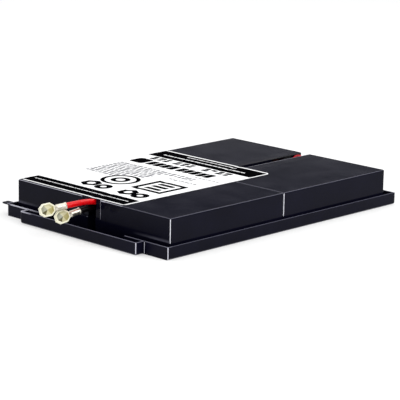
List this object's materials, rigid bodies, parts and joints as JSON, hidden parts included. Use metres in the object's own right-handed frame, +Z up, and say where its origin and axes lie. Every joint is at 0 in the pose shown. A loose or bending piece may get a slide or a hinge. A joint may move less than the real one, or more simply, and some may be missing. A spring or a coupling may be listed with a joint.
{
  "type": "ups battery cartridge",
  "caption": "Flat battery cartridge for a slim rack UPS: sealed blocks in a folded steel tray, with a printed label and short front leads.",
  "frame": {"origin": "on the underside of the tray, at the middle of the box round the cartridge without its two leads", "axes": "+Z up with the tray on its floor, +Y from the lead end to the rear, +X to the right seen from the lead end"},
  "size_m": [0.23, 0.3698, 0.0385],
  "materials": {
    "tray_steel": "black powder coat on folded sheet steel, satin",
    "case_plastic": "moulded ABS, glossy",
    "strip_plastic": "moulded ABS, fine grain",
    "tinned_brass": "stamped and tin plated",
    "red_seal": "cast epoxy",
    "black_seal": "cast epoxy",
    "foam_tape": "closed-cell foam tape",
    "black_insulation": "extruded PVC",
    "red_insulation": "extruded PVC",
    "tinned_copper": "tin plated copper tube, crimped",
    "cap_vinyl": "moulded pale yellow vinyl",
    "label_film": "white printed polyester film",
    "label_ink": "black print"
  },
  "bodies": {
    "root": {"tray": "tray_steel", "case_front_left": "case_plastic", "case_rear_left": "case_plastic", "case_front_right": "case_plastic", "case_rear_right": "case_plastic", "lid_front_left": "case_plastic", "lid_rear_left": "case_plastic", "lid_front_right": "case_plastic", "lid_rear_right": "case_plastic", "vent_strip_front_left": "strip_plastic", "vent_strip_rear_left": "strip_plastic", "vent_strip_front_right": "strip_plastic", "vent_strip_rear_right": "strip_plastic", "negative_tab_front_left": "tinned_brass", "negative_tab_rear_left": "tinned_brass", "negative_tab_front_right": "tinned_brass", "negative_tab_rear_right": "tinned_brass", "positive_tab_front_left": "tinned_brass", "positive_tab_rear_left": "tinned_brass", "positive_tab_front_right": "tinned_brass", "positive_tab_rear_right": "tinned_brass", "negative_receptacle_front_left": "tinned_brass", "negative_receptacle_rear_left": "tinned_brass", "negative_receptacle_front_right": "tinned_brass", "negative_receptacle_rear_right": "tinned_brass", "positive_receptacle_front_left": "tinned_brass", "positive_receptacle_rear_left": "tinned_brass", "positive_receptacle_front_right": "tinned_brass", "positive_receptacle_rear_right": "tinned_brass", "positive_seals": "red_seal", "negative_seals": "black_seal", "tapes_front_left": "foam_tape", "tapes_rear_left": "foam_tape", "tapes_front_right": "foam_tape", "tapes_rear_right": "foam_tape", "black_lead": "black_insulation", "red_lead": "red_insulation", "left_jumper": "black_insulation", "right_jumper": "black_insulation", "rear_jumper": "red_insulation", "black_crimp": "tinned_copper", "red_crimp": "tinned_copper", "black_cap": "cap_vinyl", "red_cap": "cap_vinyl", "label": "label_film", "label_print": "label_ink"}
  },
  "joints": []
}
